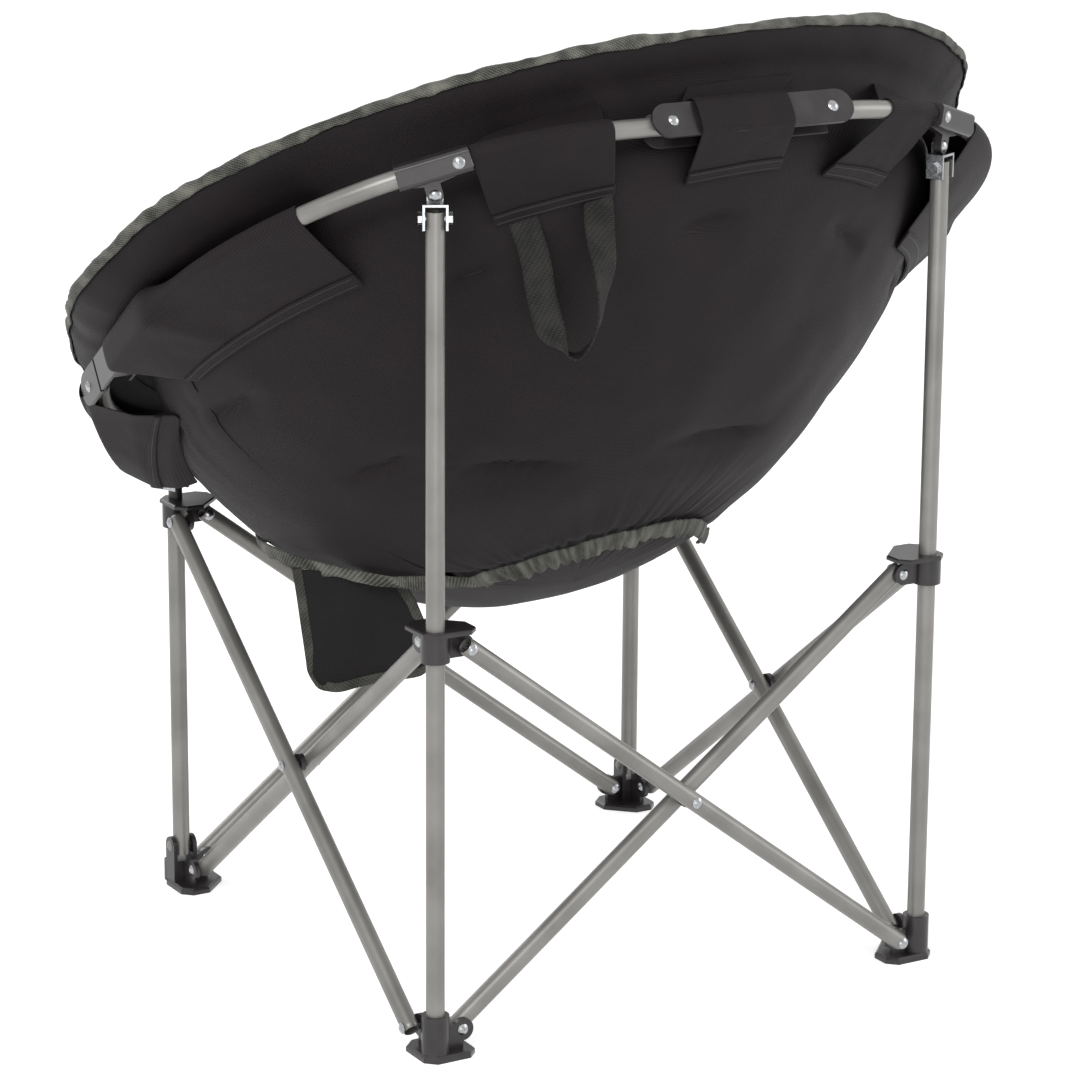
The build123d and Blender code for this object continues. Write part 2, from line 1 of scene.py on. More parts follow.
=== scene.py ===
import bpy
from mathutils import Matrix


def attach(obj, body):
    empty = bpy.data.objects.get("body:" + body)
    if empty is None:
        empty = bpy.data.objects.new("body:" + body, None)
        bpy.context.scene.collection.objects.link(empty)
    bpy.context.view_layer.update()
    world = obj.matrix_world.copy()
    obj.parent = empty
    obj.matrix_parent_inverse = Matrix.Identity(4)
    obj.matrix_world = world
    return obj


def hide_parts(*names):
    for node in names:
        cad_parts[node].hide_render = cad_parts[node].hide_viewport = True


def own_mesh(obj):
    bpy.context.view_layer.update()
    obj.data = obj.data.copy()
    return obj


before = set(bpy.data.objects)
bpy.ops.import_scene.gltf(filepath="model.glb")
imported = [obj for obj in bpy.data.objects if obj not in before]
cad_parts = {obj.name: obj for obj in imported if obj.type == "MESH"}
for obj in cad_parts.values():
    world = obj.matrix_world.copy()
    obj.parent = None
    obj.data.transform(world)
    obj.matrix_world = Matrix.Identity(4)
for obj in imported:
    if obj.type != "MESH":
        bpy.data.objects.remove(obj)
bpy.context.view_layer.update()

import math
from functools import lru_cache

import bpy
import numpy as np
from mathutils import Matrix, Vector, noise

bl_info = {
    "name": "Folding saucer chair",
    "version": (1, 0, 0),
    "blender": (4, 5, 0),
    "location": "3D View > Sidebar > Saucer chair",
    "description": "Dresses the frame of a folding saucer chair in cloth, paint and plastic",
    "category": "Object",
}

MM = 0.001

# ------------------------------------------------------------ the ring's own frame
# u runs across the chair, v up the slope of the ring and w square out of it.
LEGS_Y = 41.35
RING_Z = 605.46
TILT = math.radians(33.0)
BEND_U, BEND_V, BEND_R = 97.0, 45.0, 301.0
SIGNS = {"rl": (1, 1), "rr": (-1, 1), "fl": (1, -1), "fr": (-1, -1)}
LEAN = math.sin(math.radians(2.2))  # the rim stands higher towards its back right

# Sections of the bowl's outside: height w, centre v, half width, half length.
SECTIONS = np.array((
    (64, -37, 417, 408), (60, -36, 418, 409), (50, -32, 413, 398), (34, -18, 394, 362),
    (15, -2, 371, 328), (-12, -2, 366, 325), (-40, -22, 353, 328), (-70, -42, 333, 323),
    (-105, -56, 304, 301), (-140, -68, 269, 272), (-175, -78, 228, 233), (-205, -87, 180, 185),
    (-229, -94, 128, 131), (-243, -99, 76, 78), (-249, -101, 36, 37), (-251, -102, 0, 0),
), float)


def run_along(points):
    """The length along a chain of points up to each of them, from 0."""
    return np.concatenate(([0], np.cumsum(np.linalg.norm(np.diff(points, axis=0), axis=1))))


def hermite(rows, run, steps):
    """Rows joined by smooth curves, at steps + 1 even places along their run."""
    slope = np.gradient(rows, run, axis=0)
    at = np.linspace(0, run[-1], steps + 1)
    k = np.clip(np.searchsorted(run, at, "right") - 1, 0, len(run) - 2)
    span = (run[k + 1] - run[k])[:, None]
    t = ((at - run[k]) / span[:, 0])[:, None]
    return (
        (1 + 2 * t) * (1 - t) ** 2 * rows[k] + t * (1 - t) ** 2 * span * slope[k]
        + t * t * (3 - 2 * t) * rows[k + 1] + t * t * (t - 1) * span * slope[k + 1]
    )


WALL_ROWS = 599
SECTION_RUN = run_along(SECTIONS[:, [0, 2]])
WALL, WALL_RUN = hermite(SECTIONS, SECTION_RUN, WALL_ROWS), SECTION_RUN[-1]
WALL[:, 0] = np.minimum.accumulate(WALL[:, 0])
WALL[-1, 2:] = 0


@lru_cache(maxsize=None)
def wall_row(share):
    """Height, centre, half width and half length at a share of the way down the wall."""
    at = np.linspace(0, 1, len(WALL))
    return [float(np.interp(share, at, WALL[:, k])) for k in range(4)]


def share_at(height):
    """How far down the wall a height lies, as a share."""
    return float(np.interp(-height, -WALL[:, 0], np.linspace(0, 1, len(WALL))))


# How the soft rim strays from a plain oval, by angle: (angle, outwards, upwards).
RIM_STRAYS = np.array((
    (-180, 8, 0), (-150, 0, 0), (-90, 0, 6), (-60, -4, 14), (-40, -10, 26), (-20, -10, 30),
    (-8, -2, 18), (0, 20, 4), (10, 22, 6), (20, 22, 12), (40, 18, 7), (60, 2, 3), (80, 0, -5),
    (90, 0, -8), (100, 0, -3), (110, 0, 0), (120, 10, 5), (130, 24, 0), (140, 25, 0),
    (150, 17, 0), (165, 12, 0), (180, 8, 0),
), float)


STRAY_BLUR = 5.5  # degrees to each side


@lru_cache(maxsize=None)
def rim_stray(angle):
    """How far the rim stands out and up at an angle, smoothed over eleven degrees."""
    near = (angle + np.linspace(-STRAY_BLUR, STRAY_BLUR, 9) + 180) % 360 - 180
    return [float(np.interp(near, RIM_STRAYS[:, 0], RIM_STRAYS[:, k]).mean()) for k in (1, 2)]


def on_oval(angle, share):
    """(u, v, w) on the plain oval bowl, before its rim leans and strays."""
    height, centre, wide, long = wall_row(share)
    a = math.radians(angle)
    return np.array((wide * math.cos(a), centre + long * math.sin(a), height))


# The rim leans and strays from these heights on: where that starts, and over how much.
LEAN_FROM, LEAN_OVER = 22, 12
STRAY_FROM, STRAY_OVER = 12, 50
STEP_DOWN = 0.002  # share of the wall that gives its slope


def on_wall(angle, share, off=0.0):
    """(u, v, w) on the bowl's outside at an angle in degrees, or standing off it."""
    height, _, wide, long = wall_row(share)
    a = math.radians(angle)
    point = on_oval(angle, share)
    lift = LEAN * min(1.0, max(0.0, (height - LEAN_FROM) / LEAN_OVER))
    point[2] += lift * (point[1] - point[0])
    flare = min(1.0, max(0.0, (height - STRAY_FROM) / STRAY_OVER)) ** 1.5
    if flare:
        out, up = rim_stray(angle)
        point += np.array((out * math.cos(a), out * math.sin(a), up)) * flare
    if off:
        down = on_oval(angle, min(1.0, share + STEP_DOWN)) - on_oval(angle, share)
        round_it = np.array((-max(wide, 1) * math.sin(a), max(long, 1) * math.cos(a), 0))
        normal = np.cross(down, round_it)
        size = np.linalg.norm(normal)
        normal = normal / size if size > 1e-9 else np.array((0, 0, -1.0))
        point = point + normal * off
    return point


def in_row(point):
    """A point of the ring's frame, millimetres, in the chair's own frame, metres."""
    u, v, w = point
    return Vector((
        u * MM,
        (LEGS_Y + v * math.cos(TILT) - w * math.sin(TILT)) * MM,
        (RING_Z + v * math.sin(TILT) + w * math.cos(TILT)) * MM,
    ))


def in_ring(point):
    """A point of the chair's frame, metres, in the ring's frame, millimetres."""
    x, y, z = point[0] / MM, point[1] / MM - LEGS_Y, point[2] / MM - RING_Z
    return np.array((
        x, y * math.cos(TILT) + z * math.sin(TILT), z * math.cos(TILT) - y * math.sin(TILT)
    ))


LINK_FROM = -4.8  # angle where a rear ring tube ends and its side link runs on
LINK_WAY = np.array((-0.0844, -0.9964))
BACK_LINK_V = 346.0
# Half width, half height and squareness of what the cloth goes over, cloth included.
TUBE_SHAPE, LINK_SHAPE = np.array((9.7, 9.7, 1.0)), np.array((16.5, 19.0, 0.55))
SWELL_OVER = 9  # degrees of the tube over which a sleeve widens towards the link


def round_ring(centre, out, around, shape):
    """A point round the ring at a centre (u, v): around 0 is outwards, 90 up. The shape is
    the half width, the half height and how square the section is: 1 is round."""
    b = math.radians(around)
    wide, tall, power = shape
    side = wide * math.copysign(abs(math.cos(b)) ** power, math.cos(b))
    lift = tall * math.copysign(abs(math.sin(b)) ** power, math.sin(b))
    return np.array((centre[0] + side * out[0], centre[1] + side * out[1], lift))


def on_tube(corner, angle, around, grow=0.0):
    """A point round a ring tube, or round its side link past the tube's end."""
    across, back = SIGNS[corner]
    a = math.radians(max(angle, LINK_FROM) if back > 0 else angle)
    centre = np.array((BEND_U + BEND_R * math.cos(a), BEND_V + BEND_R * math.sin(a)))
    out = np.array((math.cos(a), math.sin(a)))
    shape = TUBE_SHAPE
    if back > 0:
        centre = centre + LINK_WAY * math.radians(max(0, LINK_FROM - angle)) * BEND_R
        swell = min(1, max(0, (SWELL_OVER - angle) / SWELL_OVER)) ** 2
        shape = TUBE_SHAPE + (LINK_SHAPE - TUBE_SHAPE) * swell
    point = round_ring(centre, out, around, shape + (grow, grow, 0))
    return point * (across, back, 1)


def on_back_link(u, around):
    """A point round the link at the back of the ring."""
    return round_ring((u, BACK_LINK_V), (0, 1), around, LINK_SHAPE)


# ---------------------------------------------------------------------- materials
def linear(colour):
    """An sRGB hex colour as linear values."""
    parts = [int(colour[i:i + 2], 16) / 255 for i in (1, 3, 5)]
    return [c / 12.92 if c <= 0.04045 else ((c + 0.055) / 1.055) ** 2.4 for c in parts] + [1.0]


def add_node(tree, kind, links=(), **settings):
    """A node with its settings and inputs; links are (input, node, output)."""
    node = tree.nodes.new(kind)
    for key, value in settings.items():
        if hasattr(node, key):
            setattr(node, key, value)
        else:
            node.inputs[key.replace("_", " ")].default_value = value
    for name, other, output in links:
        tree.links.new(other.outputs[output], node.inputs[name])
    return node


def new_material(name):
    """An empty material with its shader, ready for its own nodes."""
    material = bpy.data.materials.new(name)
    material.use_nodes = True
    tree = material.node_tree
    tree.nodes.clear()
    shader = add_node(tree, "ShaderNodeBsdfPrincipled")
    output = add_node(tree, "ShaderNodeOutputMaterial")
    tree.links.new(shader.outputs[0], output.inputs[0])
    return material, tree, shader


def two_shades(tree, shader, pattern, shades, edges):
    """Colours a surface in two hex shades by a pattern; edges are where each is pure."""
    colour = add_node(tree, "ShaderNodeValToRGB", [("Fac", pattern, 0)])
    for element, position, shade in zip(colour.color_ramp.elements, edges, shades):
        element.position, element.color = position, linear(shade)
    tree.links.new(colour.outputs[0], shader.inputs["Base Color"])


def clouded(tree, shader, size, detail, shades, edges, roughness):
    """Lets colour and gloss drift in clouds of a size in millimetres. Returns the
    coordinates that they lie on."""
    place = add_node(tree, "ShaderNodeTexCoord")
    cloud = add_node(tree, "ShaderNodeTexNoise", [("Vector", place, "Object")],
                     Scale=1 / (size * MM), Detail=detail)
    two_shades(tree, shader, cloud, shades, edges)
    rough = add_node(tree, "ShaderNodeMapRange", [("Value", cloud, 0)])
    rough.inputs["To Min"].default_value, rough.inputs["To Max"].default_value = roughness
    tree.links.new(rough.outputs[0], shader.inputs["Roughness"])
    return place


def grained(tree, shader, place, size, detail, strength):
    """Gives a surface a shallow grain of a size in millimetres."""
    grain = add_node(tree, "ShaderNodeTexNoise", [("Vector", place, "Object")],
                     Scale=1 / (size * MM), Detail=detail)
    bump = add_node(tree, "ShaderNodeBump", [("Height", grain, 0)], Strength=strength,
                    Distance=GRAIN_DEPTH * MM)
    tree.links.new(bump.outputs[0], shader.inputs["Normal"])


GRAIN_DEPTH = 0.05


def satin_paint(name, low, high, metallic, roughness):
    """Powder coat on steel tube: satin, faintly metallic, with orange peel 0.8 mm across."""
    material, tree, shader = new_material(name)
    place = clouded(tree, shader, 60, 3.0, (low, high), (0.35, 0.65),
                    (roughness - 0.04, roughness + 0.05))
    grained(tree, shader, place, 0.8, 2.0, 0.10)
    shader.inputs["Metallic"].default_value = metallic
    return material


def moulded_plastic(name, low, high, roughness):
    """Moulded nylon: charcoal, half gloss, with a fine spark-eroded grain."""
    material, tree, shader = new_material(name)
    place = clouded(tree, shader, 18, 4.0, (low, high), (0.3, 0.7),
                    (roughness - 0.05, roughness + 0.08))
    grained(tree, shader, place, 0.5, 3.0, 0.2)
    return material


def plated_steel(name):
    """Zinc-plated steel: bright, a little blue, with faint cloudy dulling."""
    material, tree, shader = new_material(name)
    clouded(tree, shader, 3, 4.0, ("#8f9193", "#b6b8ba"), (0.3, 0.7), (0.16, 0.34))
    shader.inputs["Metallic"].default_value = 1.0
    return material


def woven_cloth(name, low, high, thread, sheen, depth):
    """Plain-woven polyester on the piece's own UV map, in metres: warp and weft show as a fine
    check of painted highlights on the threads and painted shade between them, drawn as coarse as
    the render can hold."""
    material, tree, shader = new_material(name)
    place = add_node(tree, "ShaderNodeTexCoord")
    warp = add_node(tree, "ShaderNodeTexWave", [("Vector", place, "UV")],
                    wave_type="BANDS", bands_direction="X", wave_profile="SIN",
                    Scale=0.314 / thread, Distortion=0.6, Detail=2.0)
    weft = add_node(tree, "ShaderNodeTexWave", [("Vector", place, "UV")],
                    wave_type="BANDS", bands_direction="Y", wave_profile="SIN",
                    Scale=0.314 / thread, Distortion=0.6, Detail=2.0)
    weave = add_node(tree, "ShaderNodeMath", [(0, warp, "Fac"), (1, weft, "Fac")],
                     operation="MULTIPLY")
    cloud = add_node(tree, "ShaderNodeTexNoise", [("Vector", place, "UV")],
                     Scale=1 / (45 * MM), Detail=5.0)
    painted_weave_light = add_node(tree, "ShaderNodeMath", [(0, weave, 0), (1, cloud, 0)],
                     operation="MULTIPLY_ADD")
    painted_weave_light.inputs[2].default_value = 0.18
    # Low is painted shade between the threads and high a painted highlight on them; clouds vary
    # how strongly this painted light shows.
    two_shades(tree, shader, painted_weave_light, (low, high), (0.15, 0.75))
    bump = add_node(tree, "ShaderNodeBump", [("Height", weave, 0)], Strength=depth,
                    Distance=0.25 * MM)
    tree.links.new(bump.outputs[0], shader.inputs["Normal"])
    shader.inputs["Roughness"].default_value = 0.68
    shader.inputs["Specular IOR Level"].default_value = 0.24
    shader.inputs["Sheen Weight"].default_value = sheen
    shader.inputs["Sheen Roughness"].default_value = 0.45
    shader.inputs["Sheen Tint"].default_value = linear("#b6b0b4")
    return material


def ribbed_tape(name, low, high, rib, sheen):
    """Grosgrain or webbing: ribs across the tape, with a melange of light threads."""
    material, tree, shader = new_material(name)
    place = add_node(tree, "ShaderNodeTexCoord")
    ribs = add_node(tree, "ShaderNodeTexWave", [("Vector", place, "UV")],
                    wave_type="BANDS", bands_direction="X", wave_profile="SIN",
                    Scale=0.314 / rib, Distortion=2.2, Detail=3.0)
    cross = add_node(tree, "ShaderNodeTexWave", [("Vector", place, "UV")],
                     wave_type="BANDS", bands_direction="DIAGONAL", wave_profile="TRI",
                     Scale=0.314 / (1.35 * rib), Distortion=1.2, Detail=2.0)
    fleck = add_node(tree, "ShaderNodeTexNoise", [("Vector", place, "UV")],
                     Scale=1 / (1.1 * MM), Detail=4.0, Roughness=0.7)
    patch = add_node(tree, "ShaderNodeTexNoise", [("Vector", place, "UV")],
                     Scale=1 / (22 * MM), Detail=3.0)
    pattern = add_node(tree, "ShaderNodeMath", [(0, ribs, "Fac"), (1, cross, "Fac")],
                       operation="MULTIPLY")
    threads = add_node(tree, "ShaderNodeMath", [(0, pattern, 0), (1, fleck, 0)],
                       operation="MULTIPLY_ADD")
    tree.links.new(patch.outputs[0], threads.inputs[2])
    two_shades(tree, shader, threads, (low, high), (0.46, 0.92))
    bump = add_node(tree, "ShaderNodeBump", [("Height", pattern, 0)], Strength=0.7,
                    Distance=0.5 * MM)
    tree.links.new(bump.outputs[0], shader.inputs["Normal"])
    shader.inputs["Roughness"].default_value = 0.7
    shader.inputs["Specular IOR Level"].default_value = 0.3
    shader.inputs["Sheen Weight"].default_value = sheen
    shader.inputs["Sheen Roughness"].default_value = 0.5
    return material


# ------------------------------------------------------------------ sheets of cloth
def deselect():
    bpy.ops.object.select_all(action="DESELECT")


def only(obj):
    """Selects one object alone and makes it active."""
    deselect()
    obj.select_set(True)
    bpy.context.view_layer.objects.active = obj


def apply_all(obj):
    only(obj)
    for modifier in list(obj.modifiers):
        bpy.ops.object.modifier_apply(modifier=modifier.name)


def cloth_grid(name, across, along, place, size=None):
    """A grid whose point at shares (s, t) is moved to place(s, t), in the chair's frame.
    Its UV map is in metres: size is the cut of the cloth, width along s first."""
    deselect()
    bpy.ops.mesh.primitive_grid_add(x_subdivisions=across, y_subdivisions=along, size=1)
    obj = bpy.context.active_object
    obj.name = obj.data.name = name
    mesh = obj.data
    if size:
        for loop in mesh.uv_layers.active.data:
            loop.uv = (loop.uv[0] * size[0], loop.uv[1] * size[1])
    for vertex in mesh.vertices:
        vertex.co = place(vertex.co.x + 0.5, vertex.co.y + 0.5)
    return obj


def merge_and_face_out(obj):
    """Joins doubled points at seams and poles, and turns every face outwards."""
    only(obj)
    bpy.ops.object.mode_set(mode="EDIT")
    bpy.ops.mesh.select_all(action="SELECT")
    bpy.ops.mesh.remove_doubles(threshold=1e-5)
    bpy.ops.mesh.normals_make_consistent(inside=False)
    bpy.ops.object.mode_set(mode="OBJECT")


def thicken(obj, thickness, levels=1):
    """Gives a sheet its thickness on both sides and rounds it by subdivision."""
    solid = obj.modifiers.new("thickness", "SOLIDIFY")
    solid.thickness = thickness * MM
    solid.offset = 0
    if levels:
        soft = obj.modifiers.new("soft", "SUBSURF")
        soft.levels = soft.render_levels = levels
    apply_all(obj)


def dress(obj, material, smooth=True):
    """Finishes a new piece: its material and its shading."""
    obj.data.materials.clear()
    obj.data.materials.append(material)
    only(obj)
    if smooth:
        bpy.ops.object.shade_smooth()
    return obj


def fold_with_seat(obj):
    """Cloth rides on the seat, with a mesh of its own."""
    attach(obj, "seat")
    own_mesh(obj)


MADE = {}


def material(name):
    """Each finish is made once, the first time that a piece asks for it."""
    if name not in MADE:
        look = bpy.context.scene.chair_finish
        MADE[name] = {
            # Painted tubes: one soft streak of light down each.
            "satin_grey_paint": lambda: satin_paint(
                "satin_grey_powder_coat", look.tube_dark, look.tube_light, 0.45, 0.36),
            "dark_paint": lambda: satin_paint(
                "dark_powder_coat", "#34332f", "#45443f", 0.3, 0.4),
            # Rivets, bolts and yokes: small bright glints against the black.
            "zinc": lambda: plated_steel("zinc_plated_steel"),
            # Mouldings: charcoal with grey lights along their edges.
            "black_nylon": lambda: moulded_plastic(
                "moulded_black_nylon", look.plastic_dark, look.plastic_light, 0.3),
            # Cloth: warm near-black, a faint check of painted highlights on the threads and
            # painted shade between them, its folds lighter where they turn to the light.
            "oxford": lambda: woven_cloth(
                "charcoal_oxford_polyester", look.cloth_painted_gap_shade, look.cloth_painted_thread_highlight,
                look.thread_spacing, 0.035, 0.9),
            # Its two colours are painted shade between the threads and a painted highlight on
            # them.
            "dark_oxford": lambda: woven_cloth(
                "black_oxford_polyester", "#0a0809", "#1e1a1c", look.thread_spacing, 0.02, 0.7),
            "quilted": lambda: woven_cloth(
                "charcoal_quilted_polyester", look.cloth_painted_gap_shade, look.cloth_painted_thread_highlight,
                look.thread_spacing, 0.05, 0.8),
            # Tapes and webbing: ribs and a melange of light threads, greyer than the cloth.
            "binding": lambda: ribbed_tape(
                "grey_melange_binding_tape", look.binding_dark, look.binding_light,
                1.1 * MM, 0.1),
            "dark_binding": lambda: ribbed_tape(
                "dark_grey_binding_tape", "#262622", "#5a5b53", 1.5 * MM, 0.05),
            "webbing": lambda: ribbed_tape(
                "black_polypropylene_webbing", "#090908", "#31302c", 1.9 * MM, 0.02),
            "thread": lambda: moulded_plastic("black_thread", "#161416", "#201d20", 0.6),
        }[name]()
    return MADE[name]


# ------------------------------------------------------------------------ settings
def colour_setting(name, hex_colour, description):
    return bpy.props.StringProperty(name=name, description=description, default=hex_colour)


class ChairFinish(bpy.types.PropertyGroup):
    """Colours, as sRGB hex, and the weave of the chair's finishes."""

    tube_dark: colour_setting("Tube, dark", "#7d7b77", "Darker shade of the tubes' paint")
    tube_light: colour_setting("Tube, light", "#8e8c88", "Lighter shade of the tubes' paint")
    plastic_dark: colour_setting("Plastic, dark", "#221f20", "Darker shade of the mouldings")
    plastic_light: colour_setting("Plastic, light", "#322e2f", "Lighter shade of the mouldings")
    # The cloth's two shades paint light into its weave: the dark one is painted shade between the
    # threads, the light one a painted highlight on top of them.
    cloth_painted_gap_shade: colour_setting("Cloth, dark", "#080506", "Shade between the threads")
    cloth_painted_thread_highlight: colour_setting("Cloth, light", "#2a2026", "Shade on top of the threads")
    binding_dark: colour_setting("Binding, dark", "#1f1f1b", "Dark threads of the tape")
    binding_light: colour_setting("Binding, light", "#88887e", "Light threads of the tape")
    thread_spacing: bpy.props.FloatProperty(
        name="Thread spacing", description="Drawn spacing of the cloth's threads",
        default=1.6 * MM, min=0.2 * MM, max=4 * MM, unit="LENGTH")


class ChairSizes(bpy.types.PropertyGroup):
    """Sizes of the cloth pieces."""

    padding: bpy.props.FloatProperty(
        name="Padding", description="Thickness of the seat's padding",
        default=17 * MM, min=5 * MM, max=40 * MM, unit="LENGTH")
    tape_width: bpy.props.FloatProperty(
        name="Binding width", description="How far the binding tape reaches over an edge",
        default=7.5 * MM, min=4 * MM, max=25 * MM, unit="LENGTH")
    webbing_width: bpy.props.FloatProperty(
        name="Webbing width", description="Width of the carry strap's webbing",
        default=25 * MM, min=15 * MM, max=50 * MM, unit="LENGTH")


# ------------------------------------------------------------------ carried-over CAD
FINISHES = (
    ("leg_tube", "satin_grey_paint"), ("outer_bar", "satin_grey_paint"),
    ("inner_bar", "satin_grey_paint"), ("ring_tube", "satin_grey_paint"),
    ("inner_tube", "dark_paint"), ("rivets", "zinc"), ("yoke", "zinc"),
    ("foot", "black_nylon"), ("slider", "black_nylon"), ("spacer", "black_nylon"),
    ("ring_bracket", "black_nylon"), ("link", "black_nylon"),
)


class CHAIR_OT_frame_finish(bpy.types.Operator):
    """Gives every piece of the metal and plastic frame its own finish"""

    bl_idname = "chair.frame_finish"
    bl_label = "Finish the frame"

    def execute(self, context):
        for name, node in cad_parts.items():
            finish = next((look for part, look in FINISHES if part in name), None)
            if finish is None:
                continue
            if not node.data.materials:
                node.data.materials.append(material(finish))
            for index in range(len(node.data.materials)):
                node.data.materials[index] = material(finish)
        return {"FINISHED"}


# ---------------------------------------------------------------------- padded seat
TUFTS = ((0.0, 1, 0.0), (135.0, 6, 0.0), (238.0, 12, 15.0))  # radius, count, first angle
# Short tacks through the quilting, seen on the outside: two ends, (angle, height).
TACKS = (
    ((3.3, -75), (8.7, -79)), ((51.6, -68), (55.1, -68)), ((87.4, -68), (91.4, -65)),
    ((117.8, -71), (121.8, -75)), ((47.2, -190), (56.6, -197)), ((102.9, -199), (116.8, -195)),
    ((150, -72), (154, -74)), ((165, -150), (172, -152)), ((20, -160), (27, -163)),
    ((-60, -72), (-64, -74)), ((-95, -70), (-100, -70)), ((-130, -74), (-134, -72)),
    ((-150, -140), (-156, -142)), ((-75, -170), (-84, -170)),
)


# Soft waves of the outer cloth, (height, pitch), and ruffles along the rim and the seam,
# (seed, height, pitch), all in millimetres.
CLOTH_WAVES = ((3.0, 120), (1.5, 45))
RIM_RUFFLES = ((1, 2.4, 26), (2, 1.5, 11))
SEAM_RUFFLES = ((3, 3.4, 19), (4, 1.6, 8))
RIM_TAPE_RUFFLES = ((11, 1.4, 30), (12, 0.8, 9))
SEAM_TAPE_RUFFLES = ((21, 1.6, 24), (22, 1.2, 9))
SEAM_CURL = ((23, 4.0, 16),)
# Mean radii that turn an angle into a length along the wall, the rim and the seam.
WALL_RADIUS, RIM_RADIUS, SEAM_RADIUS = 380, 412, 260
RIM_REACH = 0.045  # share of the wall over which the rim's ruffles fade
GATHER_REACH = 30  # millimetres over which the seam's gathers fade
SEAM_DIP, SEAM_DIP_WIDTH = 3.0, 7
TACK_DIP, TACK_WIDTH, TACK_PULL, TACK_REACH = 6.0, 5, 3.4, 24


def ruffles(rows, at):
    """Smooth repeatable waves along a length in millimetres."""
    return sum(height * noise.noise(Vector((at / pitch, seed, 0.5 * seed)))
               for seed, height, pitch in rows)


@lru_cache(maxsize=None)
def seam_share(angle):
    """Where the bound seam runs on the bowl's wall, as a share down it, by angle."""
    angles = (-80, -60, -45, -34, -23, -12, 6, 30, 60, 100, 140, 171, 190, 215, 240, 260, 280)
    heights = (-60, -95, -118, -143, -178, -215, -236, -240, -241, -239, -233, -229,
               -215, -175, -118, -90, -60)
    return share_at(float(np.interp(angle if angle >= -80 else angle + 360, angles, heights)))


def tack_points():
    """Where every tack starts, and its length with its direction, as two arrays."""
    ends = np.array([[on_wall(a, share_at(height)) for a, height in pair] for pair in TACKS])
    return ends[:, 0], ends[:, 1] - ends[:, 0]


def outer_relief(angle, share, tacks):
    """How far the outer cloth stands off the bowl's plain shape, in millimetres."""
    point = on_wall(angle, share)
    length = math.radians(angle) * WALL_RADIUS
    puff = sum(height * noise.noise(Vector(point) / pitch) for height, pitch in CLOTH_WAVES)
    puff += math.exp(-((share / RIM_REACH) ** 2)) * ruffles(RIM_RUFFLES, length)
    seam = abs(share - seam_share(angle)) * WALL_RUN
    puff += math.exp(-seam / GATHER_REACH) * ruffles(SEAM_RUFFLES, length)
    puff -= SEAM_DIP * math.exp(-((seam / SEAM_DIP_WIDTH) ** 2))
    starts, alongs = tacks
    t = np.clip(((point - starts) * alongs).sum(1) / (alongs**2).sum(1), -1.1, 2.1)
    gap = np.linalg.norm(point - starts - t[:, None] * alongs, axis=1)
    fade = np.clip(1 - abs(t - np.clip(t, 0, 1)) / 1.1, 0, 1)
    pull = fade * (TACK_DIP * np.exp(-((gap / TACK_WIDTH) ** 2))
                   + TACK_PULL * np.exp(-((gap / TACK_REACH) ** 2)))
    return puff - float(pull.sum())


# The inner cloth: how far it swells between tufts and sinks at one, over what distance.
CROWN, CROWN_REACH, TUFT_SINK, TUFT_WIDTH = 6.5, 48, 7.5, 13


def inner_point(angle, share, tufts, padding):
    """(u, v, w) on the inner cloth: full between the tufts, pulled in at each one."""
    edge = min(1.0, share / 0.05)
    depth = padding * (0.35 + 0.65 * math.sqrt(edge))
    point = on_wall(angle, share, -depth)
    gap = float(np.linalg.norm(tufts - point, axis=1).min())
    crown = CROWN * (1 - math.exp(-((gap / CROWN_REACH) ** 2))) * edge
    pull = TUFT_SINK * math.exp(-((gap / TUFT_WIDTH) ** 2))
    creases = 1.1 * noise.noise(Vector(point) / 34) * math.exp(-gap / 60) + 1.4 * noise.noise(
        Vector(point) / 90)
    return on_wall(angle, share, -depth - (crown - pull + creases) * (0.4 + 0.6 * edge))


def tuft_centres(padding):
    """The tufts' places on the inner wall, as in the solid seat."""
    centres = []
    for radius, count, first in TUFTS:
        for number in range(count):
            angle = first + 360 * number / count
            best = min(
                (s for s in np.linspace(0.08, 1, 200)),
                key=lambda s: abs(wall_row(s)[2] - padding - radius))
            centres.append(on_wall(angle, best, -padding))
    return np.array(centres)


